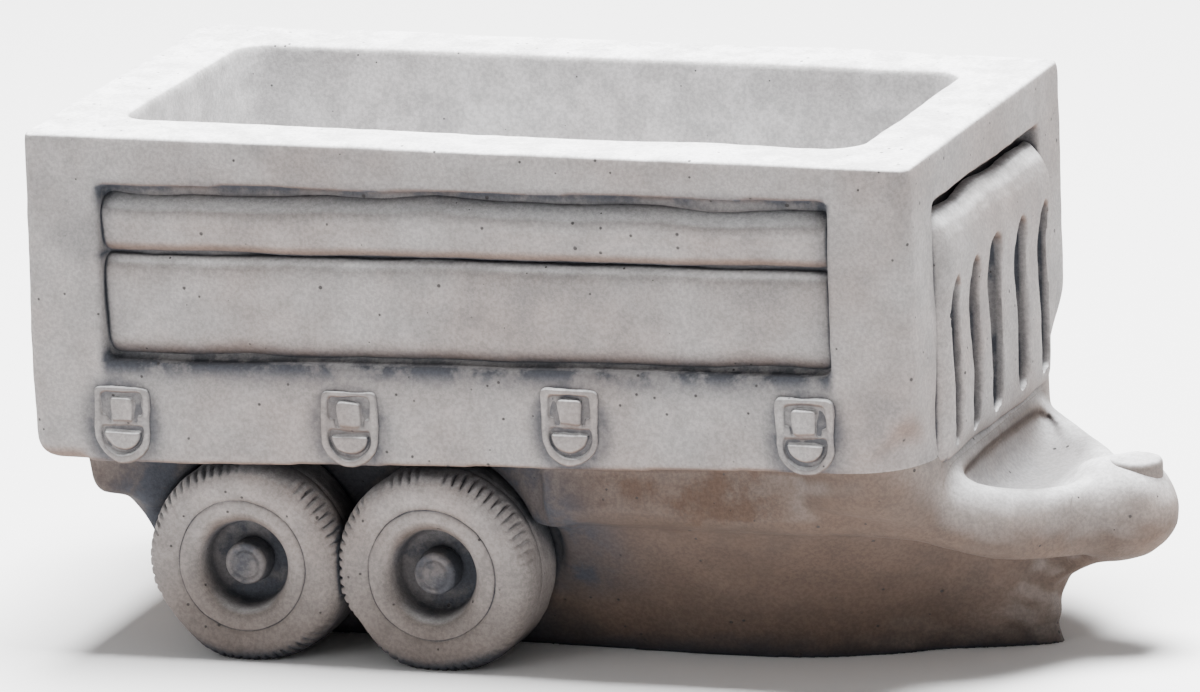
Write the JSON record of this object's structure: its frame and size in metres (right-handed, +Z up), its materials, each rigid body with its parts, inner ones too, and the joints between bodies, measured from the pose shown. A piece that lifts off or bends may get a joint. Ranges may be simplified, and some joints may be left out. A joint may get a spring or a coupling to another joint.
{
  "type": "trailer-shaped planter trough",
  "caption": "Cast concrete garden planter shaped as a tandem-axle tipping trailer, with an open rectangular trough, relief wheels, slatted front and a stub drawbar.",
  "frame": {"origin": "middle of the whole object's box at ground level", "axes": "+X from the tailgate towards the drawbar, +Y to the trailer's left, +Z up"},
  "size_m": [0.675, 0.314, 0.3255],
  "materials": {
    "cast_concrete": "cast concrete, fine matt grain with small air holes, grey-white where washed and blue-grey in the hollows",
    "reinforcing_steel": "plain round bar sealed in the concrete"
  },
  "bodies": {
    "root": {"deck": "cast_concrete", "drawbar_arm_left": "cast_concrete", "drawbar_arm_right": "cast_concrete", "drawbar_bar": "reinforcing_steel", "drawbar_nose": "cast_concrete", "drawbar_web": "cast_concrete", "front_header": "cast_concrete", "front_panel": "cast_concrete", "hitch_boss": "cast_concrete", "hub_cap_front_left": "cast_concrete", "hub_cap_front_right": "cast_concrete", "hub_cap_rear_left": "cast_concrete", "hub_cap_rear_right": "cast_concrete", "latch_1_left": "cast_concrete", "latch_1_right": "cast_concrete", "latch_2_left": "cast_concrete", "latch_2_right": "cast_concrete", "latch_3_left": "cast_concrete", "latch_3_right": "cast_concrete", "latch_4_left": "cast_concrete", "latch_4_right": "cast_concrete", "plinth": "cast_concrete", "rim_bar": "reinforcing_steel", "side_board_lower_left": "cast_concrete", "side_board_lower_right": "cast_concrete", "side_board_upper_left": "cast_concrete", "side_board_upper_right": "cast_concrete", "sill_left": "cast_concrete", "sill_right": "cast_concrete", "skirt_left": "cast_concrete", "skirt_right": "cast_concrete", "tail": "cast_concrete", "tailgate_lower": "cast_concrete", "tailgate_upper": "cast_concrete", "tub": "cast_concrete", "tyre_front_left": "cast_concrete", "tyre_front_right": "cast_concrete", "tyre_rear_left": "cast_concrete", "tyre_rear_right": "cast_concrete", "wheel_rim_front_left": "cast_concrete", "wheel_rim_front_right": "cast_concrete", "wheel_rim_rear_left": "cast_concrete", "wheel_rim_rear_right": "cast_concrete"}
  },
  "joints": []
}
